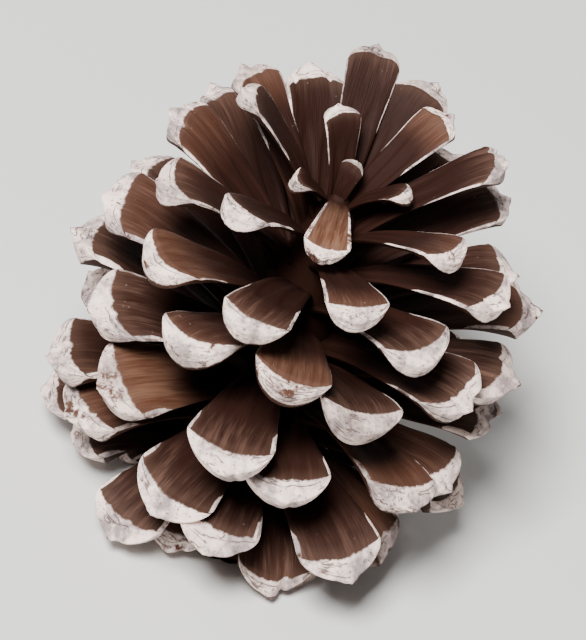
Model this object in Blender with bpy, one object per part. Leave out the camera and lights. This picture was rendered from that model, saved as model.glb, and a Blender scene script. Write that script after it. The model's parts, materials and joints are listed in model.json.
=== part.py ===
"""An open black pine cone, standing on its base.

One woody body: a tapering axis that ends below in a short stalk stub, and 100 scales that grow
from it in a spiral, each a fixed turn round from the one before. Metres, +Z up. The origin is the
middle of the stalk's flat end, which rests on the surface with the lowest ring of scales.
"""

import math

import bmesh
import bpy
from mathutils import Matrix, Vector

# Driving dimensions
CONE_HEIGHT = 0.0590
CONE_RADIUS = 0.0270
STALK_RADIUS = 0.0027
SCALE_COUNT = 100
SMALL_BASE_SCALES = 30
GOLDEN_TURN = math.pi * (3 - math.sqrt(5))
SPIRAL_HAND = -1
FIRST_TURN = math.radians(40)

# Where the scales lie, from the stalk (0) to the tip of the cone (1). Each line holds pairs of
# (place along the spiral, value). Heights are shares of CONE_HEIGHT, and the rest of CONE_RADIUS.
ROOT_HEIGHT = (
    (0, 0.085), (0.20, 0.100), (0.35, 0.130), (0.45, 0.165), (0.55, 0.230), (0.72, 0.400),
    (0.80, 0.500), (0.88, 0.610), (1, 0.750),
)
TIP_HEIGHT = (
    (0, 0.040), (0.08, 0.024), (0.16, 0.012), (0.24, 0.022), (0.32, 0.085), (0.40, 0.180),
    (0.48, 0.295), (0.56, 0.415), (0.64, 0.540), (0.72, 0.670), (0.80, 0.800), (0.88, 0.925),
    (0.94, 0.985), (0.97, 0.925), (1, 0.865),
)
TIP_RADIUS = (
    (0, 0.190), (0.08, 0.340), (0.16, 0.510), (0.24, 0.690), (0.32, 0.845), (0.40, 0.940),
    (0.48, 0.990), (0.56, 1.0), (0.64, 0.975), (0.72, 0.900), (0.80, 0.780), (0.88, 0.620),
    (0.94, 0.480), (0.97, 0.240), (1, 0.080),
)
WIDTH = (
    (0, 0.140), (0.08, 0.205), (0.16, 0.275), (0.24, 0.330), (0.32, 0.370), (0.45, 0.395),
    (0.65, 0.385), (0.80, 0.330), (0.90, 0.255), (0.96, 0.205), (1, 0.110),
)
DEPTH = (
    (0, 0.090), (0.10, 0.120), (0.24, 0.155), (0.50, 0.160), (0.70, 0.150), (0.85, 0.125),
    (0.95, 0.095), (1, 0.070),
)

# How far each scale's outer face leans back under it, as a share of its reach
FACE_LEAN = ((0, 0.34), (0.16, 0.28), (0.26, 0.20), (0.36, 0.10), (0.55, 0.04), (1, 0.0))
# How far the keel across that face stands out over its rim, as a share of its reach
FACE_BULGE = ((0, 0.065), (0.60, 0.055), (0.80, 0.040), (0.90, 0.030), (1, 0.030))

# Natural unevenness from scale to scale: how far each measure wanders, its pace and its start
TURN_WANDER = (math.radians(3.0), 4.3, 2.0)
SLOPE_WANDER = (math.radians(5.0), 1.9, 1.1)
REACH_WANDER = (0.040, 2.7, 0.4)
ROLL_WANDER = (math.radians(10.0), 3.1, 0.7)
# The crown has opened wider on one side. Its scales drop there, and stand up a little opposite:
# by this many radians, times the cosine of the turn from the open side plus the balance
OPEN_SIDE = math.radians(-60)
OPENING_BALANCE = 0.5
CROWN_OPENING = ((0, 0), (0.70, 0), (0.85, 0.175), (1, 0.250))
# One short narrow scale on that side has dried lower than its neighbours, and grows over them
STRAY_SCALE = 95
STRAY_DROP = math.radians(26)
STRAY_LIFT = 0.085
STRAY_REACH = 0.75

# Form of one scale, as shares of its reach (along), width (across) and depth (up)
ROOT_START = 0.08
SHOULDER = 0.93
RIM_ROUND = 0.6
ROOT_WIDTH = 0.42
FLARE = 1.3
ARCH = 0.50
ARCH_TOWARDS_ROOT = 0.8
CUP = 0.22
BLADE_MIDDLE = 0.34
BLADE_EDGE = 0.17
FACE_HEIGHT = 1.0
FACE_TAPER = 1.5
FACE_START = 0.80
KEEL_DROP = 0.50
BLADE_STATIONS = (0, 0.5, 0.86)
COLUMNS = (-1, -0.55, 0, 0.55, 1)
SMALL_COLUMNS = (-1, 0, 1)
SIDE_CAP_ROWS = ((0, 1, 6, 7), (1, 2, 5, 6), (2, 3, 4, 5))

# Turned profile of the axis with its stalk: height as a share of CONE_HEIGHT, radius in metres
AXIS_SIDES = 12
AXIS_PROFILE = (
    (0.0, STALK_RADIUS),
    (0.035, STALK_RADIUS),
    (0.075, 0.0050),
    (0.130, 0.0066),
    (0.230, 0.0064),
    (0.420, 0.0054),
    (0.600, 0.0042),
    (0.740, 0.0026),
    (0.800, 0.0012),
)

CONE_BROWN = (0.105, 0.052, 0.028, 1)
WOOD_ROUGHNESS = 0.62


def between(place, pairs):
    """The value at this place along the spiral, on straight runs between the pairs."""
    for (low, first), (high, last) in zip(pairs, pairs[1:]):
        if place <= high:
            return first + (last - first) * (place - low) / (high - low)
    return pairs[-1][1]


def wander(index, unevenness):
    """An uneven but repeatable number for each scale."""
    most, pace, start = unevenness
    return most * math.sin(index * pace + start)


def scale_rows(width, reach, depth, lean, bulge, columns):
    """One scale as rows of points across it: from its root along the upper face, over the thick
    outer face and back along the underside. X is across, Y outward and Z up."""

    def swell(column):
        return max(0.0, math.cos(column * math.pi / 2))

    def spot(column, along, below, outward=0.0):
        """A point this share along the scale, and this far below the upper face."""
        side = math.sin(column * math.pi / 2)
        rim = SHOULDER + (1 - SHOULDER) * swell(column) ** RIM_ROUND - bulge
        across = side * 0.5 * (ROOT_WIDTH + (1 - ROOT_WIDTH) * along**FLARE)
        out = ROOT_START + (rim - ROOT_START) * along + outward
        crown = ARCH * math.sin(math.pi * along**ARCH_TOWARDS_ROOT) + CUP * (side * along) ** 2
        return Vector((across * width, out * reach, (crown - below) * depth))

    def blade(column):
        return BLADE_EDGE + (BLADE_MIDDLE - BLADE_EDGE) * swell(column)

    def face(column):
        return blade(column) + (FACE_HEIGHT - BLADE_MIDDLE) * swell(column) ** FACE_TAPER

    rows = [[spot(c, along, 0) for c in columns] for along in (*BLADE_STATIONS, 1)]
    rows.append([spot(c, 1, KEEL_DROP * face(c), bulge * swell(c)) for c in columns])
    rows.append([spot(c, 1, face(c), -lean * swell(c)) for c in columns])
    rows.append([spot(c, FACE_START - lean, blade(c)) for c in columns])
    rows.append([spot(c, 0, blade(c)) for c in columns])
    return rows


def scale_shape(rows, place):
    """A closed mesh over the rows: a skin across them, a cap on the root and one on each side."""
    shape = bmesh.new()
    grid = [[shape.verts.new(place @ point) for point in row] for row in rows]
    for row in grid:
        for vertex in row:
            vertex.co.z = max(vertex.co.z, 0)
    for first, second in zip(grid, [*grid[1:], grid[0]]):
        for c in range(len(first) - 1):
            shape.faces.new((first[c], first[c + 1], second[c + 1], second[c]))
    for edge in (0, -1):
        for rows_of_cap in SIDE_CAP_ROWS:
            shape.faces.new([grid[row][edge] for row in rows_of_cap])
    bmesh.ops.triangulate(shape, faces=shape.faces)
    bmesh.ops.recalc_face_normals(shape, faces=shape.faces)
    return shape


def scale_plan(index):
    """The rows of one scale, and the matrix that stands it on the axis."""
    along = index / (SCALE_COUNT - 1)
    root = CONE_HEIGHT * between(along, ROOT_HEIGHT)
    tip_rise = CONE_HEIGHT * between(along, TIP_HEIGHT) - root
    tip_out = CONE_RADIUS * between(along, TIP_RADIUS)
    reach = math.hypot(tip_out, tip_rise) * (1 + wander(index, REACH_WANDER))
    slope = math.atan2(tip_rise, tip_out) + wander(index, SLOPE_WANDER)
    turn = SPIRAL_HAND * index * GOLDEN_TURN + FIRST_TURN + wander(index, TURN_WANDER)
    slope -= between(along, CROWN_OPENING) * (OPENING_BALANCE + math.cos(turn - OPEN_SIDE))
    if index == STRAY_SCALE:
        slope -= STRAY_DROP
        root += STRAY_LIFT * CONE_HEIGHT
        reach *= STRAY_REACH
    place = (
        Matrix.Rotation(turn - math.pi / 2, 4, "Z")
        @ Matrix.Translation((0, 0, root))
        @ Matrix.Rotation(slope, 4, "X")
        @ Matrix.Rotation(wander(index, ROLL_WANDER), 4, "Y")
    )
    width = CONE_RADIUS * between(along, WIDTH)
    depth = CONE_RADIUS * between(along, DEPTH)
    lean = between(along, FACE_LEAN)
    bulge = between(along, FACE_BULGE)
    columns = SMALL_COLUMNS if index < SMALL_BASE_SCALES else COLUMNS
    return scale_rows(width, reach, depth, lean, bulge, columns), place


def new_object(name, shape, collection):
    """A bmesh as an object in this collection."""
    mesh = bpy.data.meshes.new(name)
    shape.to_mesh(mesh)
    shape.free()
    made = bpy.data.objects.new(name, mesh)
    collection.objects.link(made)
    return made


def make_axis():
    """The woody axis and its stalk stub, turned round the Z axis, with a flat lower end."""
    shape = bmesh.new()
    rings = []
    for height, radius in AXIS_PROFILE:
        turns = [2 * math.pi * side / AXIS_SIDES for side in range(AXIS_SIDES)]
        spots = [(radius * math.cos(t), radius * math.sin(t), height * CONE_HEIGHT) for t in turns]
        rings.append([shape.verts.new(spot) for spot in spots])
    for lower, upper in zip(rings, rings[1:]):
        for side in range(AXIS_SIDES):
            after = (side + 1) % AXIS_SIDES
            shape.faces.new((lower[side], lower[after], upper[after], upper[side]))
    shape.faces.new(rings[0])
    shape.faces.new(rings[-1])
    bmesh.ops.recalc_face_normals(shape, faces=shape.faces)
    return new_object("pine_cone", shape, bpy.context.scene.collection)


def join_scales(axis, scales):
    """One Boolean union makes the axis and the scales one body, and the loose scales go."""
    union = axis.modifiers.new("scales", "BOOLEAN")
    union.operation = "UNION"
    union.operand_type = "COLLECTION"
    union.solver = "EXACT"
    union.collection = scales
    graph = bpy.context.evaluated_depsgraph_get()
    joined = bpy.data.meshes.new_from_object(axis.evaluated_get(graph))
    axis.modifiers.clear()
    axis.data = joined
    for scale in list(scales.objects):
        bpy.data.objects.remove(scale)
    bpy.data.collections.remove(scales)


def largest_island(shape):
    """The faces of the biggest connected skin in a mesh."""
    unseen = set(shape.faces)
    islands = []
    while unseen:
        island = {unseen.pop()}
        edge_of_walk = list(island)
        while edge_of_walk:
            face = edge_of_walk.pop()
            for edge in face.edges:
                for neighbour in edge.link_faces:
                    if neighbour in unseen:
                        unseen.remove(neighbour)
                        island.add(neighbour)
                        edge_of_walk.append(neighbour)
        islands.append(island)
    return max(islands, key=len)


def keep_outer_skin(body):
    """Fills the hollows that the union sealed in, and drops any loose scrap."""
    shape = bmesh.new()
    shape.from_mesh(body.data)
    outer = largest_island(shape)
    inner = [face for face in shape.faces if face not in outer]
    bmesh.ops.delete(shape, geom=inner, context="FACES")
    loose = [vertex for vertex in shape.verts if not vertex.link_faces]
    bmesh.ops.delete(shape, geom=loose, context="VERTS")
    shape.to_mesh(body.data)
    shape.free()


def cone_wood():
    """The dark brown wood of the cone."""
    wood = bpy.data.materials.new("dark_cone_wood")
    wood.use_nodes = True
    shader = wood.node_tree.nodes["Principled BSDF"]
    shader.inputs["Base Color"].default_value = CONE_BROWN
    shader.inputs["Roughness"].default_value = WOOD_ROUGHNESS
    shader.inputs["Metallic"].default_value = 0.0
    return wood


def build():
    for old in list(bpy.data.objects):
        bpy.data.objects.remove(old)
    axis = make_axis()
    scales = bpy.data.collections.new("scales")
    bpy.context.scene.collection.children.link(scales)
    for index in range(SCALE_COUNT):
        new_object(f"scale_{index}", scale_shape(*scale_plan(index)), scales)
    join_scales(axis, scales)
    keep_outer_skin(axis)
    axis.data.materials.clear()
    axis.data.materials.append(cone_wood())


build()
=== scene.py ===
# %% [markdown]
# An open black pine cone, frosted white
#
# A pine cone is one woody body: a tapering axis and about a hundred scales that grow from it in a
# spiral. Each scale is a thin arched blade that ends in a thick, rhombic outer face, and on this
# cone those faces and the edges round them carry a chalky white coat.
#
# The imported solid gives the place, the size and the rough form of every scale. This script grows
# the same spiral again with finely shaped scales, and gives them their wood and their frost.

# %% Frame
import json
import math

import bpy
import numpy as np
from mathutils import Matrix, Vector

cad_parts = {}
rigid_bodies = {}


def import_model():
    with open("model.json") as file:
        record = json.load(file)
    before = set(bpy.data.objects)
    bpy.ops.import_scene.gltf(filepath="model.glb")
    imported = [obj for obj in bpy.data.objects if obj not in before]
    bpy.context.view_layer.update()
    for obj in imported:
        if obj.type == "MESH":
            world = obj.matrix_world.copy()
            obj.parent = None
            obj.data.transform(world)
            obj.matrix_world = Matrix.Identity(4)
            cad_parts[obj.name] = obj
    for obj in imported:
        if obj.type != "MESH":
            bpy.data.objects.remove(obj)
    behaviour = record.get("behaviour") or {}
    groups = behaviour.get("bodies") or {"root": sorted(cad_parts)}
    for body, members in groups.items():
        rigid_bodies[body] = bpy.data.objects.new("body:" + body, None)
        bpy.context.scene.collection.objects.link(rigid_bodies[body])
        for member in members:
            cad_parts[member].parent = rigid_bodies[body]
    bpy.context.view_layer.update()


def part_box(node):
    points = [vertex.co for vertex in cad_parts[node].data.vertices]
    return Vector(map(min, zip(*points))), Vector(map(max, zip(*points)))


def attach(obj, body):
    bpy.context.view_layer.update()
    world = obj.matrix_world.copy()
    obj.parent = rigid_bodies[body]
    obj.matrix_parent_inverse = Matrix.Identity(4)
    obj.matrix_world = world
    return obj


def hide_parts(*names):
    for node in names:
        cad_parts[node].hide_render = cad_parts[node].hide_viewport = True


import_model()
cone_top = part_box("pine_cone")[1][2]
print("the solid stands", round(1000 * cone_top, 1), "mm tall")

# %% [markdown]
# The rule that the spiral follows
#
# In a real cone each new scale starts 137.5 degrees, the golden turn, round from the one before.
# How high a scale stands, how far it reaches and how broad it is change slowly from the stalk to
# the tip. One could place the scales by hand, but then the rows that cross each other in two
# directions would never line up. So each measure is a curve along the spiral: pairs of a place,
# from 0 at the stalk to 1 at the tip, and a value.

# %% Driving dimensions and the curves along the spiral
CONE_HEIGHT = 0.0590
CONE_RADIUS = 0.0270
SCALE_COUNT = 100
GOLDEN_TURN = math.pi * (3 - math.sqrt(5))
SPIRAL_HAND = -1
FIRST_TURN = math.radians(40)

# heights are shares of CONE_HEIGHT, and the rest of CONE_RADIUS
ROOT_HEIGHT = (
    (0, 0.085), (0.20, 0.100), (0.35, 0.130), (0.45, 0.165), (0.55, 0.230), (0.72, 0.400),
    (0.80, 0.500), (0.88, 0.610), (1, 0.750),
)
TIP_HEIGHT = (
    (0, 0.040), (0.08, 0.024), (0.16, 0.012), (0.24, 0.022), (0.32, 0.085), (0.40, 0.180),
    (0.48, 0.295), (0.56, 0.415), (0.64, 0.540), (0.72, 0.670), (0.80, 0.800), (0.88, 0.925),
    (0.94, 0.985), (0.97, 0.925), (1, 0.865),
)
TIP_RADIUS = (
    (0, 0.190), (0.08, 0.340), (0.16, 0.510), (0.24, 0.690), (0.32, 0.845), (0.40, 0.940),
    (0.48, 0.990), (0.56, 1.0), (0.64, 0.975), (0.72, 0.900), (0.80, 0.780), (0.88, 0.620),
    (0.94, 0.480), (0.97, 0.240), (1, 0.080),
)
WIDTH = (
    (0, 0.140), (0.08, 0.205), (0.16, 0.275), (0.24, 0.330), (0.32, 0.370), (0.45, 0.395),
    (0.65, 0.385), (0.80, 0.330), (0.90, 0.255), (0.96, 0.205), (1, 0.110),
)
DEPTH = (
    (0, 0.090), (0.10, 0.120), (0.24, 0.155), (0.50, 0.160), (0.70, 0.150), (0.85, 0.125),
    (0.95, 0.095), (1, 0.070),
)
# how far a scale's outer face leans back under it, as a share of its reach
FACE_LEAN = ((0, 0.34), (0.16, 0.28), (0.26, 0.20), (0.36, 0.10), (0.55, 0.04), (1, 0.0))
# how far the keel across that face stands out over its rim, as a share of its reach
FACE_BULGE = ((0, 0.065), (0.60, 0.055), (0.80, 0.040), (0.90, 0.030), (1, 0.030))

# natural unevenness from scale to scale: how far each measure wanders, its pace and its start
TURN_WANDER = (math.radians(3.0), 4.3, 2.0)
SLOPE_WANDER = (math.radians(5.0), 1.9, 1.1)
REACH_WANDER = (0.040, 2.7, 0.4)
ROLL_WANDER = (math.radians(10.0), 3.1, 0.7)
# the crown has opened wider on one side. Its scales drop there, and stand up a little opposite:
# by this many radians, times the cosine of the turn from the open side plus the balance
OPEN_SIDE = math.radians(-60)
OPENING_BALANCE = 0.5
CROWN_OPENING = ((0, 0), (0.70, 0), (0.85, 0.175), (1, 0.250))
# one short narrow scale on that side has dried lower than its neighbours, and grows over them
STRAY_SCALE = 95
STRAY_DROP = math.radians(26)
STRAY_LIFT = 0.085
STRAY_REACH = 0.75


def between(place, pairs):
    """The value at this place along the spiral, on straight runs between the pairs."""
    places, values = zip(*pairs)
    return float(np.interp(place, places, values))


golden_degrees = round(math.degrees(GOLDEN_TURN), 1)
print(SCALE_COUNT, "scales, each", golden_degrees, "degrees round from the one before")

# %% [markdown]
# One scale
#
# A scale is a skin of columns across it, each column a closed loop: along the upper face from the
# root to the lip, down over the bulging outer face, and back along the underside. All lengths are
# shares, so one formula serves a broad scale and a narrow one: the spiral stretches it to its
# width, reach and depth. Sculpting a hundred scales would give more life but no rule to learn
# from, and copies of one scale look stamped, so every scale is drawn from its own seed.

# %% Shares that give a scale its form
# along the scale they are shares of its reach, across it of its width, and up of its depth.
# SIDE runs from -1 to 1 across a scale, and SWELL is 1 in its middle and 0 at both sides
ROOT_START = 0.08
SHOULDER = 0.93
RIM_ROUND = 0.6
ROOT_WIDTH = 0.42
FLARE = 1.3
ARCH = 0.50
ARCH_TOWARDS_ROOT = 0.8
CUP = 0.22
BLADE_MIDDLE = 0.34
BLADE_EDGE = 0.17
FACE_HEIGHT = 1.0
FACE_TAPER = 1.5
FACE_START = 0.80
KEEL_DROP = 0.50

COLUMNS = 45
TURN_OF_COLUMN = np.linspace(-1, 1, COLUMNS) * math.pi / 2
SIDE = np.sin(TURN_OF_COLUMN)
SWELL = np.maximum(0, np.cos(TURN_OF_COLUMN))

UPPER = np.concatenate([np.linspace(0, 0.60, 10), np.linspace(0.65, 0.95, 9), (0.975, 0.992)])
FACE = np.concatenate([(0.0, 0.03, 0.07), np.linspace(0.13, 1, 15)])
UNDER_FACE = np.linspace(0.14, 1, 7)
UNDERSIDE = np.linspace(0.9, 0, 10)
STATIONS = len(UPPER) + len(FACE) + len(UNDER_FACE) + len(UNDERSIDE)
print("a scale has", COLUMNS, "columns of", STATIONS, "points")


# %% Smooth steps and gentle waves
def step(low, high, value):
    """0 below low, 1 above high and a smooth rise between."""
    share = np.clip((value - low) / (high - low), 0, 1)
    return share * share * (3 - 2 * share)


def waves(draw, across, along, count, finest):
    """A gentle uneven surface from -1 to 1: some sine waves, none finer than finest, whose
    directions and starts are drawn."""
    total = np.zeros(np.broadcast(across, along).shape)
    for _ in range(count):
        fine = draw.uniform(0.3, 1) * finest
        turn = draw.uniform(0, 2 * math.pi)
        start = draw.uniform(0, 2 * math.pi)
        total += np.sin(fine * (math.cos(turn) * across + math.sin(turn) * along) + start)
    return total / count


# %% [markdown]
# The upper face of a ripe scale still shows where its two winged seeds lay: two long shallow
# hollows with a low ridge between them. In front of them the scale thickens towards its lip. These
# are a fraction of a millimetre deep, yet they catch the light, so they are in the mesh.

# %% Relief of the upper face and of the outer face
SEED_BED_DEPTH = 0.060
SEED_BED_SIDE = 0.44
SEED_BED_MIDDLE = (0.40, 0.46)
SEED_BED_SPREAD = 0.36
UPPER_UNEVENNESS = 0.022
# the swelling behind the lip rises and falls between these shares of the way along the scale
LIP_SWELLING = 0.055
SWELLING_RISES = (0.72, 0.90)
SWELLING_FALLS = (0.93, 1.0)
KEEL_RIDGE = 0.010
KEEL_SPREAD = 0.075
UMBO_OUT = 0.016
UMBO_SPREAD = (0.24, 0.17)
PRICKLE_OUT = 0.013
PRICKLE_SPREAD = (0.07, 0.05)
FACE_UNEVENNESS = 0.007
# squared distances from the middle, in spreads, where a seed bed or the umbo starts and is full
SEED_BED_EDGE = (1.0, 0.45)
UMBO_EDGE = (1.15, 0.35)


def upper_relief(draw, along):
    """Height of the upper face over its plain arch, in shares of the depth."""
    beds = 0
    for hand in (-1, 1):
        across_bed = (SIDE - hand * SEED_BED_SIDE) / SEED_BED_SPREAD
        along_bed = (along - draw.uniform(*SEED_BED_MIDDLE)) / SEED_BED_SPREAD
        beds = beds + step(*SEED_BED_EDGE, across_bed**2 + along_bed**2)
    swelling = step(*SWELLING_RISES, along) * (1 - step(*SWELLING_FALLS, along))
    uneven = waves(draw, 3 * SIDE, 5 * along, count=5, finest=2.2)
    return LIP_SWELLING * swelling - SEED_BED_DEPTH * beds + UPPER_UNEVENNESS * uneven


def from_middle(from_keel, spread):
    """Squared distance from the middle of the outer face, as a share of this spread."""
    across, down = spread
    return (SIDE / across) ** 2 + (from_keel / down) ** 2


def outer_relief(draw, down):
    """How far the outer face stands out over its plain bulge, in shares of the reach: a keel from
    corner to corner, and in its middle the umbo, a small boss with a blunt prickle."""
    from_keel = down - KEEL_DROP
    keel = KEEL_RIDGE * np.exp(-((from_keel / KEEL_SPREAD) ** 2)) * SWELL**0.5
    umbo = UMBO_OUT * step(*UMBO_EDGE, from_middle(from_keel, UMBO_SPREAD))
    prickle = PRICKLE_OUT * np.exp(-from_middle(from_keel, PRICKLE_SPREAD))
    uneven = waves(draw, 4 * SIDE, 4 * down, count=6, finest=2.6)
    return keel + umbo + prickle + FACE_UNEVENNESS * uneven * SWELL**0.3


print("seed beds", SEED_BED_DEPTH, "of the depth deep; umbo", UMBO_OUT, "of the reach proud")

# %% [markdown]
# The loop of one column
#
# Every station of the loop says how far along the scale it lies, how far below the upper face, and
# how far it stands out beyond the rim. The frost is thickest on the outer face and thins away from
# its edge, so each point also keeps its distance from that edge, in metres on a scale of usual
# size. The materials read it later.

# %% Build the points of one scale
FORM_SEED = 4100
USUAL_REACH = 0.026
USUAL_WIDTH = 0.0118
UNDER_UNEVENNESS = 0.03
# powers that shape the bulge above and below the keel, and the way back from the foot of the
# outer face to the underside of the blade
BULGE_ABOVE_KEEL = 1.9
BULGE_BELOW_KEEL = 1.7
FOOT_CURVE = 0.8
# distances in metres from the frost's edge: how far inside it the keel lies, how far outside it
# the front of the underside, and how much farther its root. Of the keel's distance this share is
# lost at the foot of the outer face
FROST_AT_KEEL = 0.0030
LOST_BELOW_KEEL = 0.97
OUT_ON_UNDERSIDE = 0.0040
FARTHER_TO_ROOT = 0.010
# the blade's shares of the usual reach and width
BLADE_REACH = 0.8
BLADE_WIDTH = 0.9
# the white of the side edges: its breadth in metres, and for each place along the spiral the
# share of the scale's length at which it ends. From there it fades towards the root, over a share
# of that length and by a distance in metres. On the stray scale it is broader and longer
SIDE_WHITE = 0.0009
STRAY_SIDE_WHITE = 0.0018
SIDE_WHITE_END = ((0, 0.92), (0.60, 0.90), (0.80, 0.75), (1, 0.62))
STRAY_WHITE_LONGER = 0.4
WHITE_FADES_OVER = 0.3
WHITE_FADES_BY = 0.009
# between these two places along the spiral the dark of the roots comes to reach farther out:
# painted shade for the crown's deep hollow. On the stray scale the dark and its painted shade reach
# less far
CROWN_SHADE_FROM, CROWN_SHADE_TO = 0.72, 0.90
ROOT_SHADE_GROWS, ROOT_SHADE_ADDED = 0.4, 0.05
STRAY_ROOT_DARK_AND_SHADE = 0.35
# the lip's outline and the blade's own bend, all in shares of the reach, the width or the depth
LIP_WAVES = 0.010
LIP_SLANT = 0.012
CHIP_PLACE = (-0.8, 0.8)
CHIP_BREADTH = (0.05, 0.11)
CHIP_DEPTH = (0.008, 0.022)
SIDEWAYS_BEND = 0.05
TWIST = 0.16
CURL = 0.14
# how blunt the side edges are, and the share of the blade's thickness that is left there
EDGE_BLUNTNESS = 10
EDGE_THICKNESS = 0.10


def scale_points(index):
    """(points, frost depth, depth of the dark roots and their painted shade, underness) of one
    scale of unit width, reach and depth.
    """
    draw = np.random.default_rng(FORM_SEED + index)
    place = index / (SCALE_COUNT - 1)
    stray = index == STRAY_SCALE
    lean, keel_out = between(place, FACE_LEAN), between(place, FACE_BULGE)
    blade = BLADE_EDGE + (BLADE_MIDDLE - BLADE_EDGE) * SWELL
    face = blade + (FACE_HEIGHT - BLADE_MIDDLE) * SWELL**FACE_TAPER
    rim = SHOULDER + (1 - SHOULDER) * SWELL**RIM_ROUND - keel_out
    rim = rim + lip_outline(draw)

    up, down, back, under = (part[:, None] for part in (UPPER, FACE, UNDER_FACE, UNDERSIDE))
    far = FACE_START - lean
    above_keel = np.clip((KEEL_DROP - down) / KEEL_DROP, 0, 1)
    below_keel = np.clip((down - KEEL_DROP) / (1 - KEEL_DROP), 0, 1)
    bulge = keel_out * (1 - above_keel**BULGE_ABOVE_KEEL)
    bulge = bulge - (keel_out + lean) * below_keel**BULGE_BELOW_KEEL

    along = joined(up, 1 + 0 * down, 1 + (far - 1) * back, far * under)
    below = joined(
        -upper_relief(draw, up), down * face, face + (blade - face) * back**FOOT_CURVE,
        blade + UNDER_UNEVENNESS * waves(draw, 6 * SIDE, 2 * under, count=4, finest=3),
    )
    outward = joined(
        0 * up, bulge * SWELL + outer_relief(draw, down), -lean * SWELL * (1 - back), 0 * under
    )
    x, y, z = scale_surface(draw, along, below, outward, rim)
    points = np.stack([x, y, rounded_edges(z, along, blade)], axis=-1)

    on_face = FROST_AT_KEEL * (1 - above_keel) * (1 - LOST_BELOW_KEEL * below_keel)
    frost = joined(
        -to_edge(place, stray, up), on_face, -OUT_ON_UNDERSIDE * back,
        -OUT_ON_UNDERSIDE - FARTHER_TO_ROOT * (1 - under),
    )
    # the dark towards the root: partly darker wood, partly painted shade, which reaches farther in
    # the deep crown and less far on the stray scale that lies over its neighbours
    towards_crown = step(CROWN_SHADE_FROM, CROWN_SHADE_TO, place)
    root = (1 - along) * (STRAY_ROOT_DARK_AND_SHADE if stray else 1 + ROOT_SHADE_GROWS * towards_crown)
    root = root + ROOT_SHADE_ADDED * towards_crown
    underness = joined(0 * up, step(KEEL_DROP, 1, down), 1 + 0 * back, 1 + 0 * under)
    return points, frost, root, underness


def joined(*parts):
    """The values of the loop's four parts one below the other, each as broad as the scale."""
    return np.concatenate([part + 0 * SIDE for part in parts])


def to_edge(place, stray, up):
    """Distance on the upper face from the white of the lip or of a side edge, in metres."""
    ends_at = between(place, SIDE_WHITE_END) - STRAY_WHITE_LONGER * stray
    from_lip = USUAL_REACH * BLADE_REACH * (1 - up)
    from_side = USUAL_WIDTH * BLADE_WIDTH * (1 - abs(SIDE))
    from_side = from_side - (STRAY_SIDE_WHITE if stray else SIDE_WHITE)
    fading = WHITE_FADES_BY * step(ends_at, ends_at - WHITE_FADES_OVER, up)
    return np.minimum(from_lip, from_side + fading)


def lip_outline(draw):
    """Small waves and now and then a chip in the lip, in shares of the reach."""
    outline = LIP_WAVES * waves(draw, 5 * SIDE, 0, count=3, finest=1.6)
    outline = outline + LIP_SLANT * draw.uniform(-1, 1) * SIDE
    for _ in range(draw.integers(0, 3)):
        place, breadth = draw.uniform(*CHIP_PLACE), draw.uniform(*CHIP_BREADTH)
        chip = draw.uniform(*CHIP_DEPTH) * np.exp(-(((SIDE - place) / breadth) ** 2))
        outline = outline - chip
    return outline * SWELL**0.3


def scale_surface(draw, along, below, outward, rim):
    """Places on the flared, arched and cupped blade, each scale with its own bend and twist."""
    breadth = 0.5 * (ROOT_WIDTH + (1 - ROOT_WIDTH) * along**FLARE)
    x = SIDE * breadth + SIDEWAYS_BEND * draw.uniform(-1, 1) * along**2
    y = ROOT_START + (rim - ROOT_START) * along + outward
    crown = ARCH * np.sin(math.pi * along**ARCH_TOWARDS_ROOT) + CUP * (SIDE * along) ** 2
    twist = TWIST * draw.uniform(-1, 1) * SIDE * along**2
    curl = CURL * draw.uniform(-1, 1) * along**3 * SIDE**2
    return x, y, crown + twist + curl - below


def rounded_edges(z, along, blade):
    """Draws the upper face and the underside together towards both side edges."""
    thinness = np.sqrt(np.clip(1 - abs(SIDE) ** EDGE_BLUNTNESS, 0, 1))
    thinness = np.maximum(EDGE_THICKNESS, thinness)
    top = z[: len(UPPER)]
    middle_of_top = top - blade / 2
    middle = np.empty_like(z)
    middle[: len(UPPER)] = middle_of_top
    for row in range(len(UPPER), len(z)):
        middle[row] = np.array([np.interp(along[row, c], UPPER, middle_of_top[:, c])
            for c in range(COLUMNS)])
    return middle + (z - middle) * thinness


print("points of scale 60:", scale_points(60)[0].shape)


# %% [markdown]
# From points to a closed skin
#
# The loops are joined by four-sided faces. At each side edge the loop is nearly flat, so a strip
# between its upper and lower half closes it. The values for the materials go in as attributes,
# because they follow the scale wherever the spiral takes it: `grain` for the direction of the wood
# fibres, `frost_depth`, a depth towards the root that sets the dark roots and their painted shade,
# `underness`, and one drawn `tone` for the whole scale.

# %% Mesh of one scale
def scale_faces():
    """Corner numbers of the skin over all columns, and of the strips that close the two sides."""
    rows, columns = np.meshgrid(np.arange(STATIONS), np.arange(COLUMNS - 1), indexing="ij")
    here = rows * COLUMNS + columns
    after = (rows + 1) % STATIONS * COLUMNS + columns
    skin = np.stack([here, here + 1, after + 1, after], axis=-1).reshape(-1, 4)
    pairs = np.arange(STATIONS // 2 - 1)
    upper, lower = pairs * COLUMNS, (STATIONS - 1 - pairs) * COLUMNS
    strip = np.stack([upper, upper + COLUMNS, lower - COLUMNS, lower], axis=-1)
    far_strip = strip[:, ::-1] + COLUMNS - 1
    return np.concatenate([skin, strip, far_strip]).tolist()


SCALE_FACES = scale_faces()
FINISH_SEED = 7300
# how far the frost's edge shifts from scale to scale, in metres
FROST_SHIFT = 0.00022
# the innermost scales of the crown, from this place on, are dark, and their frost draws back by
# this many metres
BUD_START = 0.955
BUD_BARENESS = 0.0012


def add_attribute(mesh, name, values):
    """Stores one number, or one vector, for each point of a mesh."""
    values = np.ascontiguousarray(values, np.float32)
    is_vector = values.shape[-1] == 3 and values.size == 3 * len(mesh.vertices)
    layer = mesh.attributes.new(name, "FLOAT_VECTOR" if is_vector else "FLOAT", "POINT")
    layer.data.foreach_set("vector" if is_vector else "value", values.ravel())


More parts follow.
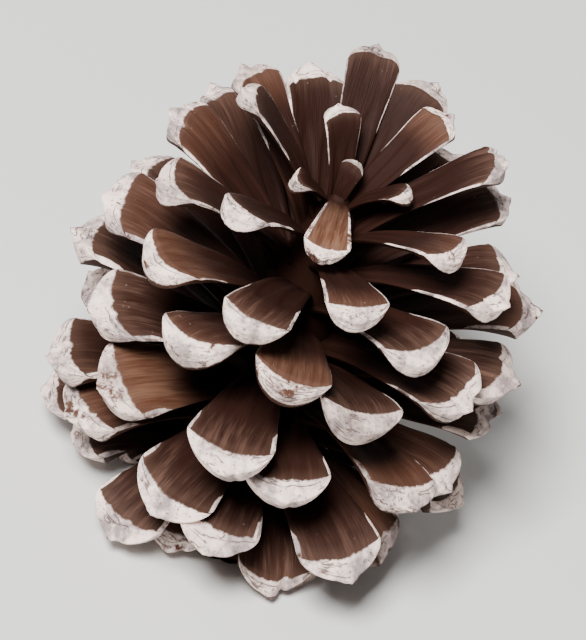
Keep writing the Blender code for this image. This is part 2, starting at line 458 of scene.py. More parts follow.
def scale_mesh(index):
    """One finely shaped scale of unit width, reach and depth."""
    points, frost, root, underness = scale_points(index)
    draw = np.random.default_rng(FINISH_SEED + index)
    mesh = bpy.data.meshes.new(f"scale_{index:03d}")
    mesh.from_pydata(points.reshape(-1, 3).tolist(), [], SCALE_FACES)
    in_bud = step(BUD_START, 1, index / (SCALE_COUNT - 1)) * (index != STRAY_SCALE)
    frost = frost + draw.normal(0, FROST_SHIFT) - BUD_BARENESS * in_bud
    add_attribute(mesh, "grain", points * (USUAL_WIDTH, USUAL_REACH, 0) + (0, 0, index))
    add_attribute(mesh, "frost_depth", frost)
    add_attribute(mesh, "root_depth", root)
    add_attribute(mesh, "underness", underness)
    tone = 1.0 if index == STRAY_SCALE else draw.uniform() * (1 - in_bud)
    add_attribute(mesh, "tone", np.full(root.size, tone))
    return mesh


scale_shelf = bpy.data.collections.new("scales_to_place")
for index in range(SCALE_COUNT):
    mesh = scale_mesh(index)
    scale_shelf.objects.link(bpy.data.objects.new(mesh.name, mesh))

# %% [markdown]
# Wood and frost
#
# Two effects are shared by the scales and the stalk, so each is a node group with named inputs:
# the streaks of the wood fibres, and the chalky coat. Painting the frost on by a noise alone would
# put it anywhere. Here it starts from each point's distance to the edge of the outer face, and
# noise only makes that edge ragged, wears patches through and cracks it.

# %% Small helpers for node trees
def put(tree, kind, inputs=None, **settings):
    """A new node with its settings. An input, by number or name, is a socket to link or a value."""
    node = tree.nodes.new(kind)
    for name, value in settings.items():
        setattr(node, name, value)
    for key, value in (inputs or {}).items():
        if isinstance(value, bpy.types.NodeSocket):
            tree.links.new(value, node.inputs[key])
        else:
            node.inputs[key].default_value = value
    return node


def calculate(tree, operation, *values):
    """The result of a Math node on sockets or numbers."""
    return put(tree, "ShaderNodeMath", dict(enumerate(values)), operation=operation).outputs[0]


def times(tree, *factors):
    """The product of sockets and numbers."""
    product = factors[0]
    for factor in factors[1:]:
        product = calculate(tree, "MULTIPLY", product, factor)
    return product


def new_group(name, kind, given, results):
    """An empty node group with its named sockets, its input node and its output node."""
    tree = bpy.data.node_groups.new(name, kind)
    for in_out, sockets in (("INPUT", given), ("OUTPUT", results)):
        for socket_name, socket_type in sockets:
            tree.interface.new_socket(socket_name, in_out=in_out, socket_type=socket_type)
    return tree, tree.nodes.new("NodeGroupInput"), tree.nodes.new("NodeGroupOutput")


def rise(tree, value, low, high):
    """0 below low, 1 above high, and a smooth rise between."""
    inputs = {"Value": value, "From Min": low, "From Max": high}
    return put(tree, "ShaderNodeMapRange", inputs, interpolation_type="SMOOTHSTEP").outputs[0]


def noise(tree, vector, scale, detail=3.0, roughness=0.55):
    """A cloudy pattern round 0.5, with this many features for each unit of the vector."""
    inputs = {"Vector": vector, "Scale": scale, "Detail": detail, "Roughness": roughness}
    return put(tree, "ShaderNodeTexNoise", inputs).outputs[0]


def stretched(tree, vector, across, along, apart):
    """The vector with each of its three numbers stretched."""
    inputs = {0: vector, 1: (across, along, apart)}
    return put(tree, "ShaderNodeVectorMath", inputs, operation="MULTIPLY").outputs[0]


FLOAT = "NodeSocketFloat"
VECTOR = "NodeSocketVector"


# %% Wood fibres: streaks that run from root to lip
# features for each metre across and along a scale, and how far the scales' patterns lie apart
FINE_FIBRES = (3600, 230, 3.7)
BROAD_STREAKS = (900, 110, 5.3)
FINE_SHARE = 0.45


def make_fibre_group():
    tree, given, result = new_group("wood_fibres", "ShaderNodeTree",
        [("Grain", VECTOR)], [("Tone", FLOAT), ("Height", FLOAT)])
    grain = given.outputs["Grain"]
    fine = noise(tree, stretched(tree, grain, *FINE_FIBRES), 1, detail=3, roughness=0.6)
    broad = noise(tree, stretched(tree, grain, *BROAD_STREAKS), 1, detail=2)
    tone = calculate(tree, "MULTIPLY_ADD", fine, FINE_SHARE, times(tree, broad, 1 - FINE_SHARE))
    tree.links.new(tone, result.inputs["Tone"])
    tree.links.new(fine, result.inputs["Height"])
    return tree


# %% Frost: a ragged chalky coat with worn patches, creases, bare specks and some dust round it
# patterns that lie on the whole cone: features for each metre, detail and roughness
PATTERNS = {
    "blots": (520, 5, 0.62), "worn patches": (380, 5, 0.68), "creased places": (300, 2, 0.55),
    "lip line's wander": (260, 3, 0.55), "lined places": (210, 2, 0.55),
    "bare specks": (1900, 3, 0.55), "thick places": (900, 4, 0.60), "dust": (1500, 3, 0.55),
    "soft shades": (230, 2, 0.50), "chalk grains": (1300, 4, 0.65),
}
# the levels of a pattern between which what it is named for starts and is full
LEVELS = {
    "creased places": (0.50, 0.58), "lined places": (0.50, 0.56), "bare specks": (0.62, 0.70),
    "thick places": (0.30, 0.55), "dust": (0.70, 0.80),
}
# patterns that follow a scale: features for each metre across it and along it, or away from the
# frost's edge, and how far the scales' patterns lie apart
DRIPS = (1300, 240, 2.9)
CREASES = (190, 620, 3.1)
DRIP_SHARE = 1.3
# from nothing to the full coat, in metres inside the frost's edge
EDGE_SOFTNESS = (-0.00010, 0.00022)
# the coat is worn through where the pattern of worn patches is above this level less the coat's
# wear, and altogether this much higher
FULL_WEAR_LEVEL = 0.98
WORN_SOFTNESS = 0.09
CREASE_BREADTH = (0.006, 0.030)
# a line that runs along the lip: how far inside the frost's edge it lies at most, how much nearer
# it comes, and its breadth, all in metres
LIP_LINE = 0.0019
LIP_LINE_WANDER = 0.0016
LIP_LINE_BREADTH = (0.00003, 0.00011)
# shares of the coat that are missing in a line, in a bare speck and where the coat is thin
LINE_STRENGTH = 0.80
SPECK_STRENGTH = 0.65
THIN_BY = 0.22
# dust thins out towards this distance from the frost's edge, outside it, in metres
DUST_FROM = -0.0040
DUST_STRENGTH = 0.5
# the chalk's share of soft shades, a mottle that is partly painted shade, the rest being grains.
# Its relief: the height of those two, and the thickness of the coat that carries them
SOFT_SHARE = 0.6
CHALK_RELIEF = 0.9
COAT_RELIEF = 0.5


def thin_lines(tree, value, level, sharp, soft):
    """1 where the value is within sharp of a level, falling to 0 at soft from it."""
    gap = calculate(tree, "ABSOLUTE", calculate(tree, "SUBTRACT", value, level))
    return calculate(tree, "SUBTRACT", 1, rise(tree, gap, sharp, soft))


def make_frost_group():
    tree, given, result = new_group("frost_coat", "ShaderNodeTree",
        [("Depth", FLOAT), ("Grain", VECTOR), ("Spread", FLOAT), ("Raggedness", FLOAT),
         ("Wear", FLOAT)],
        [("Mask", FLOAT), ("Height", FLOAT), ("Chalk", FLOAT)])
    depth, grain = given.outputs["Depth"], given.outputs["Grain"]
    place = put(tree, "ShaderNodeTexCoord").outputs["Object"]

    def pattern(name):
        return noise(tree, place, *PATTERNS[name])

    def found(name):
        """1 where the pattern is above its levels, and 0 below them."""
        return rise(tree, pattern(name), *LEVELS[name])

    # where the coat lies: it ends raggedly near the edge of the outer face
    blots = calculate(tree, "SUBTRACT", pattern("blots"), 0.5)
    drips = noise(tree, stretched(tree, grain, *DRIPS), 1, detail=3)
    drips = calculate(tree, "SUBTRACT", drips, 0.5)
    uneven = calculate(tree, "MULTIPLY_ADD", drips, DRIP_SHARE, blots)
    reach = calculate(tree, "ADD", depth, given.outputs["Spread"])
    edge = calculate(tree, "MULTIPLY_ADD", uneven, given.outputs["Raggedness"], reach)
    coat = rise(tree, edge, *EDGE_SOFTNESS)

    # where it is bare: in worn patches, in creases along the lip and in small specks
    worn_from = calculate(tree, "SUBTRACT", FULL_WEAR_LEVEL, given.outputs["Wear"])
    worn_to = calculate(tree, "ADD", worn_from, WORN_SOFTNESS)
    worn = rise(tree, pattern("worn patches"), worn_from, worn_to)
    own = put(tree, "ShaderNodeSeparateXYZ", {0: grain}).outputs
    across, deep, apart = CREASES
    along_lip = put(tree, "ShaderNodeCombineXYZ", {"X": times(tree, own["X"], across),
        "Y": times(tree, depth, deep), "Z": times(tree, own["Z"], apart)}).outputs[0]
    creases = noise(tree, along_lip, 1, detail=3, roughness=0.5)
    creases = thin_lines(tree, creases, 0.5, *CREASE_BREADTH)
    creases = times(tree, creases, found("creased places"))
    wander = times(tree, pattern("lip line's wander"), LIP_LINE_WANDER)
    lip_line = calculate(tree, "ADD", wander, depth)
    lip_line = thin_lines(tree, lip_line, LIP_LINE, *LIP_LINE_BREADTH)
    lip_line = times(tree, lip_line, found("lined places"))
    lines = times(tree, calculate(tree, "MAXIMUM", creases, lip_line), LINE_STRENGTH)
    specks = times(tree, found("bare specks"), SPECK_STRENGTH)
    bare = calculate(tree, "MAXIMUM", worn, calculate(tree, "MAXIMUM", lines, specks))

    # how thick the rest of it is, the dust round it, and the chalk's mottled shades, partly painted
    # shade, and its relief
    thick = calculate(tree, "MULTIPLY_ADD", found("thick places"), THIN_BY, 1 - THIN_BY)
    mask = times(tree, coat, calculate(tree, "SUBTRACT", 1, bare), thick)
    near = rise(tree, depth, DUST_FROM, 0.0)
    mask = calculate(tree, "MAXIMUM", mask, times(tree, found("dust"), near, DUST_STRENGTH))
    grains = times(tree, pattern("chalk grains"), 1 - SOFT_SHARE)
    chalk = calculate(tree, "MULTIPLY_ADD", pattern("soft shades"), SOFT_SHARE, grains)
    coat_height = calculate(tree, "MULTIPLY_ADD", chalk, CHALK_RELIEF, COAT_RELIEF)
    height = times(tree, mask, coat_height)
    for name, value in (("Mask", mask), ("Height", height), ("Chalk", chalk)):
        tree.links.new(value, result.inputs[name])
    return tree


fibre_group = make_fibre_group()
frost_group = make_frost_group()
print("node groups:", fibre_group.name, "and", frost_group.name)

# %% [markdown]
# The wood is chocolate brown, redder on some scales and nearly black towards the axis: partly the
# darker wood of the roots, partly painted shade for the deep gaps between the scales. Near the
# frost it is a little paler, and the scales with the highest tone have bleached streaks. All of it
# is dull, and the frost is duller still.

# %% The material of scales and stalk
DARK_WOOD = (0.021, 0.0076, 0.0044, 1)
MIDDLE_WOOD = (0.036, 0.0172, 0.0128, 1)
PALE_WOOD = (0.103, 0.0545, 0.0390, 1)
RED_WOOD = (0.087, 0.0322, 0.0176, 1)
BLEACHED_WOOD = (0.175, 0.091, 0.054, 1)
FACE_WOOD = (0.092, 0.049, 0.034, 1)
# the near-black of the roots: partly their darker wood, partly painted shade for the deep gaps
# between the scales
ROOT_DARK_AND_PAINTED_SHADE = (0.019, 0.0064, 0.0042, 1)
FROST_SHADE = (0.300, 0.240, 0.232, 1)
FROST_WHITE = (0.985, 0.765, 0.680, 1)
WOOD_GLOSS = 0.09
WOOD_ROUGHNESS = 0.62
FROST_ROUGHNESS = 0.92
# relief in metres, the shares of it that frost and fibres make, and how strongly it shows
RELIEF_HEIGHT = 0.00016
FROST_RELIEF = 0.8
FIBRE_RELIEF = 0.7
RELIEF_STRENGTH = 0.9
# where bleached streaks start and are full in the fibres, and white in the shades of the chalk
BLEACHED_STREAKS = (0.36, 0.60)
WHITE_CHALK = (0.37, 0.60)
UNDER_DARKNESS = 0.65
# on a scale of tone 1 the frost is this much more worn than on one of tone 0, and the dark of the
# root, with its painted shade, reaches less far out, by this share of the scale's length
WEAR_WITH_TONE = 0.13
ROOT_DARK_AND_SHADE_WITH_TONE = 0.16
# the share of the frost that is missing on thinly frosted scales. A pattern gives each scale one
# value: how far apart the scales lie in it, and the values where thin frost starts and is full
THIN_FROST_BY = 0.34
THIN_FROST_APART = 3.37
THIN_FROST_LEVELS = (0.48, 0.68)


def attribute(tree, name, output="Fac"):
    """What a mesh keeps under this name for each of its points."""
    return put(tree, "ShaderNodeAttribute", attribute_name=name).outputs[output]


def mixed(tree, share, first, second):
    """Two colours mixed by a share."""
    inputs = {0: share, 6: first, 7: second}
    return put(tree, "ShaderNodeMix", inputs, data_type="RGBA").outputs[2]


def make_cone_wood(name, spread, raggedness, wear):
    """Cone wood whose frost spreads this far over the edges of the outer face, and ends this
    raggedly, both in metres. The more wear, the more of it has gone."""
    material = bpy.data.materials.new(name)
    material.use_nodes = True
    tree = material.node_tree
    shader = tree.nodes["Principled BSDF"]
    grain, frost_depth = attribute(tree, "grain", "Vector"), attribute(tree, "frost_depth")
    own_tone = attribute(tree, "tone")
    own_wear = calculate(tree, "POWER", own_tone, 3)
    own_wear = calculate(tree, "MULTIPLY_ADD", own_wear, WEAR_WITH_TONE, wear)
    fibres = put(tree, "ShaderNodeGroup", {"Grain": grain}, node_tree=fibre_group).outputs
    frost = put(tree, "ShaderNodeGroup", {"Depth": frost_depth, "Grain": grain, "Spread": spread,
        "Raggedness": raggedness, "Wear": own_wear}, node_tree=frost_group).outputs

    streaks = fibres["Tone"]
    bleached = mixed(tree, rise(tree, streaks, *BLEACHED_STREAKS), RED_WOOD, BLEACHED_WOOD)
    # how far the near-black reaches out from the root: darker wood and painted shade, less far on
    # scales of high tone
    root = calculate(tree, "MULTIPLY_ADD", own_tone, -ROOT_DARK_AND_SHADE_WITH_TONE, ROOT_DARK_AND_SHADE_WITH_TONE / 2)
    root = calculate(tree, "ADD", attribute(tree, "root_depth"), root)
    # each layer: what it follows, where it starts, where it is full, its strength, its colour
    layers = (
        (streaks, 0.34, 0.50, 1.0, MIDDLE_WOOD),
        (streaks, 0.48, 0.66, 1.0, PALE_WOOD),
        (own_tone, 0.45, 1.0, 0.55, RED_WOOD),
        (own_tone, 0.60, 0.05, 0.72, DARK_WOOD),
        (own_tone, 0.86, 1.0, 0.65, bleached),
        (frost_depth, -0.0016, 0.0002, 0.35, FACE_WOOD),
        (root, 0.0, 0.38, 0.98, ROOT_DARK_AND_PAINTED_SHADE),
    )
    wood = DARK_WOOD
    for follows, start, full, strength, colour in layers:
        wood = mixed(tree, times(tree, rise(tree, follows, start, full), strength), wood, colour)
    under = times(tree, attribute(tree, "underness"), UNDER_DARKNESS)
    wood = mixed(tree, under, wood, DARK_WOOD)

    # the coat: white mixed towards FROST_SHADE by the chalk's mottle, which is partly painted shade
    coat = mixed(tree, rise(tree, frost["Chalk"], *WHITE_CHALK), FROST_SHADE, FROST_WHITE)
    thin = noise(tree, stretched(tree, grain, 0, 0, THIN_FROST_APART), 1, detail=0)
    thin = times(tree, rise(tree, thin, *THIN_FROST_LEVELS), THIN_FROST_BY)
    coating = times(tree, frost["Mask"], calculate(tree, "SUBTRACT", 1, thin))
    tree.links.new(mixed(tree, coating, wood, coat), shader.inputs["Base Color"])

    shader.inputs["Specular IOR Level"].default_value = WOOD_GLOSS
    roughness = put(tree, "ShaderNodeMapRange", {"Value": frost["Mask"], "To Min": WOOD_ROUGHNESS,
        "To Max": FROST_ROUGHNESS}).outputs[0]
    tree.links.new(roughness, shader.inputs["Roughness"])
    fibre_relief = times(tree, fibres["Height"], FIBRE_RELIEF)
    relief = calculate(tree, "MULTIPLY_ADD", frost["Height"], FROST_RELIEF, fibre_relief)
    bump = put(tree, "ShaderNodeBump",
        {"Height": relief, "Distance": RELIEF_HEIGHT, "Strength": RELIEF_STRENGTH})
    tree.links.new(bump.outputs["Normal"], shader.inputs["Normal"])
    return material


scale_wood = make_cone_wood("frosted_scale_wood", -0.00028, 0.0005, 0.34)
stalk_wood = make_cone_wood("stalk_wood", 0.0010, 0.0030, 0.37)
print("materials:", scale_wood.name, "and", stalk_wood.name)

# %% [markdown]
# The spiral
#
# The spiral is a Geometry Nodes tree: one point for each scale, all on the cone's axis, and the
# scale's own mesh on each point, turned and stretched. The height of its root and the place of its
# tip come from the curves above, so the slope and the reach follow from the right triangle
# between them. A loop in Python could place the copies as well, but in the tree the height, the
# radius and the unevenness stay inputs that can be pulled while the cone is looked at.

# %% Helpers for the spiral's tree
def curve_along(tree, place, pairs, name):
    """A Float Curve that runs straight from pair to pair."""
    node = put(tree, "ShaderNodeFloatCurve", {"Value": place}, label=name)
    line = node.mapping.curves[0]
    line.points[0].location = pairs[0]
    line.points[1].location = pairs[-1]
    for place_and_value in pairs[1:-1]:
        line.points.new(*place_and_value)
    for spot in line.points:
        spot.handle_type = "VECTOR"
    node.mapping.update()
    return node.outputs[0]


def wandering(tree, index, unevenness, amount):
    """An uneven but repeatable number for each scale, from minus amount to amount."""
    _, pace, start = unevenness
    swing = calculate(tree, "SINE", calculate(tree, "MULTIPLY_ADD", index, pace, start))
    return calculate(tree, "MULTIPLY", swing, amount)


def turned(tree, rotation, axis, angle):
    """A rotation with one more turn, about the instance's own axis."""
    turn = put(tree, "FunctionNodeAxisAngleToRotation", {"Axis": axis, "Angle": angle}).outputs[0]
    if rotation is None:
        return turn
    inputs = {0: rotation, 1: turn}
    return put(tree, "FunctionNodeRotateRotation", inputs, rotation_space="LOCAL").outputs[0]


# %% The spiral's tree
SPIRAL_INPUTS = [
    ("Scales", "NodeSocketCollection"), ("First Scale", "NodeSocketInt"),
    ("Last Scale", "NodeSocketInt"), ("Scale Count", "NodeSocketInt"), ("Cone Height", FLOAT),
    ("Cone Radius", FLOAT), ("Turn Step", FLOAT), ("First Turn", FLOAT), ("Turn Wander", FLOAT),
    ("Slope Wander", FLOAT), ("Reach Wander", FLOAT), ("Roll Wander", FLOAT),
    ("Open Side", FLOAT), ("Stray Scale", "NodeSocketInt"), ("Stray Drop", FLOAT),
    ("Stray Lift", FLOAT), ("Stray Reach", FLOAT), ("Wood", "NodeSocketMaterial"),
]


def make_spiral_tree():
    tree, given, result = new_group("spiral_of_scales", "GeometryNodeTree", SPIRAL_INPUTS,
        [("Geometry", "NodeSocketGeometry")])
    value = given.outputs
    own_number = put(tree, "GeometryNodeInputIndex").outputs[0]
    index = calculate(tree, "ADD", own_number, value["First Scale"])
    last_index = calculate(tree, "SUBTRACT", value["Scale Count"], 1)
    along = calculate(tree, "DIVIDE", index, last_index)
    is_stray = calculate(tree, "COMPARE", index, value["Stray Scale"], 0.5)

    def measure(pairs, name, unit):
        return times(tree, curve_along(tree, along, pairs, name), unit)

    # size: the reach is the long side of the triangle between the root and the tip
    height, radius = value["Cone Height"], value["Cone Radius"]
    root = measure(ROOT_HEIGHT, "root height", height)
    tip_rise = calculate(tree, "SUBTRACT", measure(TIP_HEIGHT, "tip height", height), root)
    tip_out = measure(TIP_RADIUS, "tip radius", radius)
    squares = calculate(tree, "MULTIPLY_ADD", tip_rise, tip_rise, times(tree, tip_out, tip_out))
    stretch = calculate(tree, "ADD", 1, wandering(tree, index, REACH_WANDER, value["Reach Wander"]))
    shorter = times(tree, is_stray, calculate(tree, "SUBTRACT", 1, value["Stray Reach"]))
    stretch = times(tree, stretch, calculate(tree, "SUBTRACT", 1, shorter))
    reach = times(tree, calculate(tree, "SQRT", squares), stretch)
    width = measure(WIDTH, "width", radius)
    depth = measure(DEPTH, "depth", radius)

    # turn round the axis, then slope, then roll
    steps_round = calculate(tree, "MULTIPLY_ADD", index, value["Turn Step"], value["First Turn"])
    turn_wander = wandering(tree, index, TURN_WANDER, value["Turn Wander"])
    turn = calculate(tree, "ADD", steps_round, turn_wander)
    from_open_side = calculate(tree, "SUBTRACT", turn, value["Open Side"])
    openness = calculate(tree, "COSINE", from_open_side)
    openness = calculate(tree, "ADD", openness, OPENING_BALANCE)
    slope_wander = wandering(tree, index, SLOPE_WANDER, value["Slope Wander"])
    slope = calculate(tree, "ADD", calculate(tree, "ARCTAN2", tip_rise, tip_out), slope_wander)
    for drop in (
        measure(CROWN_OPENING, "crown opening", openness),
        times(tree, is_stray, value["Stray Drop"]),
    ):
        slope = calculate(tree, "SUBTRACT", slope, drop)
    roll = wandering(tree, index, ROLL_WANDER, value["Roll Wander"])
    outwards = calculate(tree, "SUBTRACT", turn, math.pi / 2)
    rotation = turned(tree, None, (0, 0, 1), outwards)
    rotation = turned(tree, rotation, (1, 0, 0), slope)
    rotation = turned(tree, rotation, (0, 1, 0), roll)

    # one point on the axis for each scale, and the scale's own mesh on it
    count = calculate(tree, "SUBTRACT", value["Last Scale"], value["First Scale"])
    count = calculate(tree, "ADD", count, 1)
    lift = times(tree, is_stray, value["Stray Lift"], height)
    on_axis = put(tree, "ShaderNodeCombineXYZ", {"Z": calculate(tree, "ADD", root, lift)})
    points = put(tree, "GeometryNodePoints", {"Count": count, "Position": on_axis.outputs[0]})
    shelf = put(tree, "GeometryNodeCollectionInfo", {"Collection": value["Scales"],
        "Separate Children": True, "Reset Children": True})
    size = put(tree, "ShaderNodeCombineXYZ", {"X": width, "Y": reach, "Z": depth})
    placed = put(tree, "GeometryNodeInstanceOnPoints", {"Points": points.outputs[0],
        "Instance": shelf.outputs[0], "Pick Instance": True, "Instance Index": index,
        "Rotation": rotation, "Scale": size.outputs[0]})
    real = put(tree, "GeometryNodeRealizeInstances", {"Geometry": placed.outputs[0]})

    # nothing reaches below the floor that the cone stands on
    position = put(tree, "GeometryNodeInputPosition").outputs[0]
    where = put(tree, "ShaderNodeSeparateXYZ", {0: position}).outputs
    above = calculate(tree, "MAXIMUM", where["Z"], 0)
    spot = put(tree, "ShaderNodeCombineXYZ", {"X": where["X"], "Y": where["Y"], "Z": above})
    stood = put(tree, "GeometryNodeSetPosition",
        {"Geometry": real.outputs[0], "Position": spot.outputs[0]})
    smooth = put(tree, "GeometryNodeSetShadeSmooth", {"Geometry": stood.outputs[0]})
    wooden = put(tree, "GeometryNodeSetMaterial",
        {"Geometry": smooth.outputs[0], "Material": value["Wood"]})
    tree.links.new(wooden.outputs[0], result.inputs["Geometry"])
    return tree


spiral_tree = make_spiral_tree()
socket_of = {item.name: item.identifier for item in spiral_tree.interface.items_tree
    if item.in_out == "INPUT"}
print("the spiral's tree has", len(spiral_tree.nodes), "nodes")

# %% [markdown]
# The cone is grown in four pieces, from the small knobs of the base to the crown, so that each
# piece stays light. Every piece is made a plain mesh, because a live tree and its instances are
# lost outside Blender.

# %% Grow the scales
PIECES = {
    "base_scales": (0, 29), "lower_scales": (30, 53), "middle_scales": (54, 77),
    "crown_scales": (78, 99),
}


def grow(name, first, last):
    """A piece of the cone: the scales from first to last, as a plain mesh."""
    piece = bpy.data.objects.new(name, bpy.data.meshes.new(name))
    bpy.context.scene.collection.objects.link(piece)
    growth = piece.modifiers.new("spiral", "NODES")
    growth.node_group = spiral_tree
    settings = {
        "Scales": scale_shelf, "First Scale": first, "Last Scale": last, "Scale Count": SCALE_COUNT,
        "Cone Height": CONE_HEIGHT, "Cone Radius": CONE_RADIUS,
        "Turn Step": SPIRAL_HAND * GOLDEN_TURN, "First Turn": FIRST_TURN,
        "Turn Wander": TURN_WANDER[0], "Slope Wander": SLOPE_WANDER[0],
        "Reach Wander": REACH_WANDER[0], "Roll Wander": ROLL_WANDER[0], "Open Side": OPEN_SIDE,
        "Stray Scale": STRAY_SCALE, "Stray Drop": STRAY_DROP, "Stray Lift": STRAY_LIFT,
        "Stray Reach": STRAY_REACH, "Wood": scale_wood,
    }
    for socket_name, setting in settings.items():
        growth[socket_of[socket_name]] = setting
    graph = bpy.context.evaluated_depsgraph_get()
    grown = bpy.data.meshes.new_from_object(
        piece.evaluated_get(graph), preserve_all_data_layers=True, depsgraph=graph
    )
    piece.modifiers.clear()
    piece.data = grown
    grown.name = name
    return piece


scale_pieces = [grow(name, first, last) for name, (first, last) in PIECES.items()]
for piece in scale_pieces:
    print(piece.name, "has", len(piece.data.polygons), "faces and",
        [layer.name for layer in piece.data.attributes if not layer.is_internal])
for model in list(scale_shelf.objects):
    bpy.data.objects.remove(model)
bpy.data.collections.remove(scale_shelf)

# %% [markdown]
# Axis and stalk
#
# Between the scales only a little of the axis shows, and under the cone the stub of the stalk on
# which it hung. Both are one turned form. The stub ends in the scar where the cone broke off: a
# rim of bark, and inside it paler wood with a soft pith in the middle.

# %% Turn the axis
STALK_RADIUS = 0.0027
# heights are shares of CONE_HEIGHT, and radii are in metres
AXIS_PROFILE = (
    (0.0, STALK_RADIUS), (0.035, STALK_RADIUS), (0.075, 0.0050), (0.130, 0.0066), (0.230, 0.0064),
    (0.420, 0.0054), (0.600, 0.0042), (0.740, 0.0026), (0.800, 0.0008),
)
AXIS_SIDES = 72
AXIS_RINGS = 90
BARK_SEED = 5
BARK_FLUTES = (3, 5, 8, 13)
BARK_UNEVENNESS = 0.022
# shares of the stalk's radius, from the bark inwards, and how far up into the stub each lies
SCAR_RINGS = (
    (0.93, 0.0), (0.86, 0.00022), (0.6, 0.00014), (0.3, 0.00018), (0.18, 0.00045), (0.01, 0.0005)
)


def axis_points():
    """The points of the turned form, ring by ring from its top to the middle of the scar."""
    draw = np.random.default_rng(BARK_SEED)
    angles = np.arange(AXIS_SIDES) * 2 * math.pi / AXIS_SIDES
    bark = sum(np.sin(k * angles + draw.uniform(0, 6)) / k**0.7 for k in BARK_FLUTES)
    rings = []
    for height in np.linspace(AXIS_PROFILE[-1][0], 0, AXIS_RINGS):
        radii = between(height, AXIS_PROFILE) * (1 + BARK_UNEVENNESS * bark * (height > 0))
        rings.append((radii, height * CONE_HEIGHT))
    rings += [(STALK_RADIUS * share + 0 * angles, rise_in) for share, rise_in in SCAR_RINGS]
    return [
        (radius * math.cos(angle), radius * math.sin(angle), z)
        for radii, z in rings for radius, angle in zip(radii, angles)
    ]


def turn_axis():
    """The axis with its stalk, closed at its top and in the middle of the scar."""
    points = axis_points()
    faces = []
    for ring in range(AXIS_RINGS + len(SCAR_RINGS) - 1):
        for side in range(AXIS_SIDES):
            here = ring * AXIS_SIDES + side
            after = ring * AXIS_SIDES + (side + 1) % AXIS_SIDES
            faces.append((here, here + AXIS_SIDES, after + AXIS_SIDES, after))
    faces.append(list(range(AXIS_SIDES)))
    faces.append([len(points) - 1 - side for side in range(AXIS_SIDES)])
    mesh = bpy.data.meshes.new("axis_and_stalk")
    mesh.from_pydata(points, [], faces)
    mesh.shade_smooth()
    points = np.array(points)
    around = np.arctan2(points[:, 1], points[:, 0]) * STALK_RADIUS
    in_scar = np.arange(len(points)) >= AXIS_RINGS * AXIS_SIDES
    add_attribute(mesh, "grain", np.stack([around, points[:, 2], 0 * around], axis=-1))
    # for the material: each value in the scar, and elsewhere. Elsewhere the axis between the scales
    # gets the roots' near-black, painted shade that deepens higher up
    finish = {
        "frost_depth": (-0.0022, -0.0040), "root_depth": (0.05, 0.30 + 8 * points[:, 2]),
        "underness": (0.0, 0.4), "tone": (0.4, 0.4),
    }
    for name, (scar, elsewhere) in finish.items():
        add_attribute(mesh, name, np.where(in_scar, scar, elsewhere))
    axis = bpy.data.objects.new("axis_and_stalk", mesh)
    bpy.context.scene.collection.objects.link(axis)
    mesh.materials.append(stalk_wood)
    return axis


axis_piece = turn_axis()
print("axis and stalk:", len(axis_piece.data.polygons), "faces")

# %% [markdown]
# Floor, light and camera
#
# The cone stands on a plain pale floor. One soft key light comes from above the camera, with a
# weak broad fill from the left, a weak rim light from behind and a dim sky. More light from the
# sides would fill the gaps between the scales, and it is their dark that makes the frost look
# white. The camera looks down on the cone at the photograph's angle, tilted to one side.

# %% Floor
FLOOR_HALF = 3
FLOOR_COLOUR = (0.64, 0.635, 0.62, 1)
FLOOR_ROUGHNESS = 0.85

corner_signs = ((-1, -1), (1, -1), (1, 1), (-1, 1))
floor_corners = [(x * FLOOR_HALF, y * FLOOR_HALF, 0) for x, y in corner_signs]
floor_mesh = bpy.data.meshes.new("floor")
floor_mesh.from_pydata(floor_corners, [], [(0, 1, 2, 3)])
floor = bpy.data.objects.new("floor", floor_mesh)
bpy.context.scene.collection.objects.link(floor)
floor_paint = bpy.data.materials.new("pale_floor")
floor_paint.use_nodes = True
floor_shader = floor_paint.node_tree.nodes["Principled BSDF"]
floor_shader.inputs["Base Color"].default_value = FLOOR_COLOUR
floor_shader.inputs["Roughness"].default_value = FLOOR_ROUGHNESS
floor_mesh.materials.append(floor_paint)
print("floor laid,", 2 * FLOOR_HALF, "m across")

# %% Camera
CAMERA_ELEVATION = math.radians(41)
CAMERA_AZIMUTH = math.radians(-27)
CAMERA_ROLL = math.radians(21)
CAMERA_DISTANCE = 0.50
LENS = 100
FRAME_WIDTH_AT_CONE = 0.0700
LOOK_AT = Vector((0, 0, 0.0265))


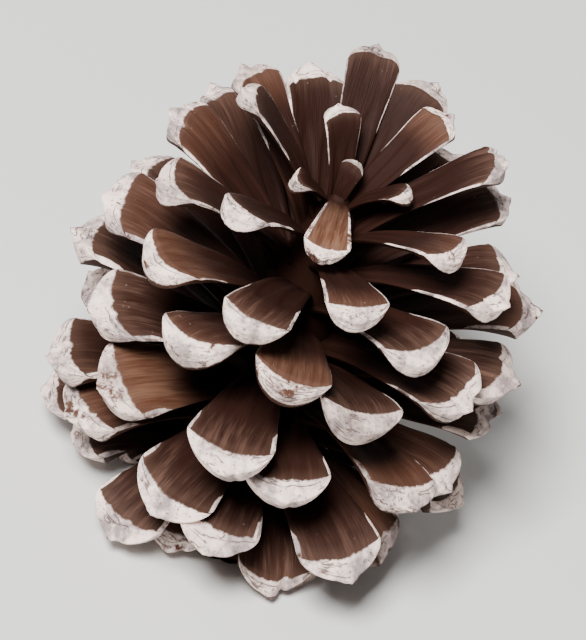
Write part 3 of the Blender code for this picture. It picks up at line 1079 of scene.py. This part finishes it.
def direction(azimuth, elevation):
    """From the cone to a place seen under these two angles."""
    level = math.cos(elevation)
    return Vector((-math.sin(azimuth) * level, -math.cos(azimuth) * level, math.sin(elevation)))


camera_data = bpy.data.cameras.new("camera")
camera_data.lens = LENS
camera_data.sensor_fit = "HORIZONTAL"
camera_data.sensor_width = LENS * FRAME_WIDTH_AT_CONE / CAMERA_DISTANCE
camera_data.clip_start = 0.01
camera = bpy.data.objects.new("camera", camera_data)
bpy.context.scene.collection.objects.link(camera)
view = direction(CAMERA_AZIMUTH, CAMERA_ELEVATION)
camera.matrix_world = (
    Matrix.Translation(LOOK_AT + view * CAMERA_DISTANCE)
    @ view.to_track_quat("Z", "Y").to_matrix().to_4x4()
    @ Matrix.Rotation(CAMERA_ROLL, 4, "Z")
)
bpy.context.scene.camera = camera
print("camera at", [round(v, 3) for v in camera.location])

# %% Lights
# azimuth and elevation in degrees, distance and size in metres, and power in watts
LIGHTS = {
    "key_light": (-5, 56, 0.9, 0.26, 24.5),
    "fill_light": (65, 35, 1.0, 0.80, 2.0),
    "rim_light": (165, 40, 1.0, 0.60, 2.0),
}
SKY_COLOUR = (0.98, 0.96, 0.95, 1)
SKY_STRENGTH = 0.15

for name, (azimuth, elevation, distance, size, power) in LIGHTS.items():
    lamp = bpy.data.lights.new(name, "AREA")
    lamp.energy = power
    lamp.size = size
    light = bpy.data.objects.new(name, lamp)
    bpy.context.scene.collection.objects.link(light)
    towards = direction(math.radians(azimuth), math.radians(elevation))
    facing = towards.to_track_quat("Z", "Y").to_matrix().to_4x4()
    light.matrix_world = Matrix.Translation(LOOK_AT + towards * distance) @ facing
sky = bpy.data.worlds.new("pale_sky")
sky.use_nodes = True
sky_light = sky.node_tree.nodes["Background"].inputs
sky_light["Color"].default_value = SKY_COLOUR
sky_light["Strength"].default_value = SKY_STRENGTH
bpy.context.scene.world = sky
print(len(LIGHTS), "soft lights")

# %% [markdown]
# Hand over
#
# Every piece rides on the cone's one body and takes the place of its plain solid.

# %% Frame calls
for piece in (*scale_pieces, axis_piece):
    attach(piece, "root")
    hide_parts("pine_cone")
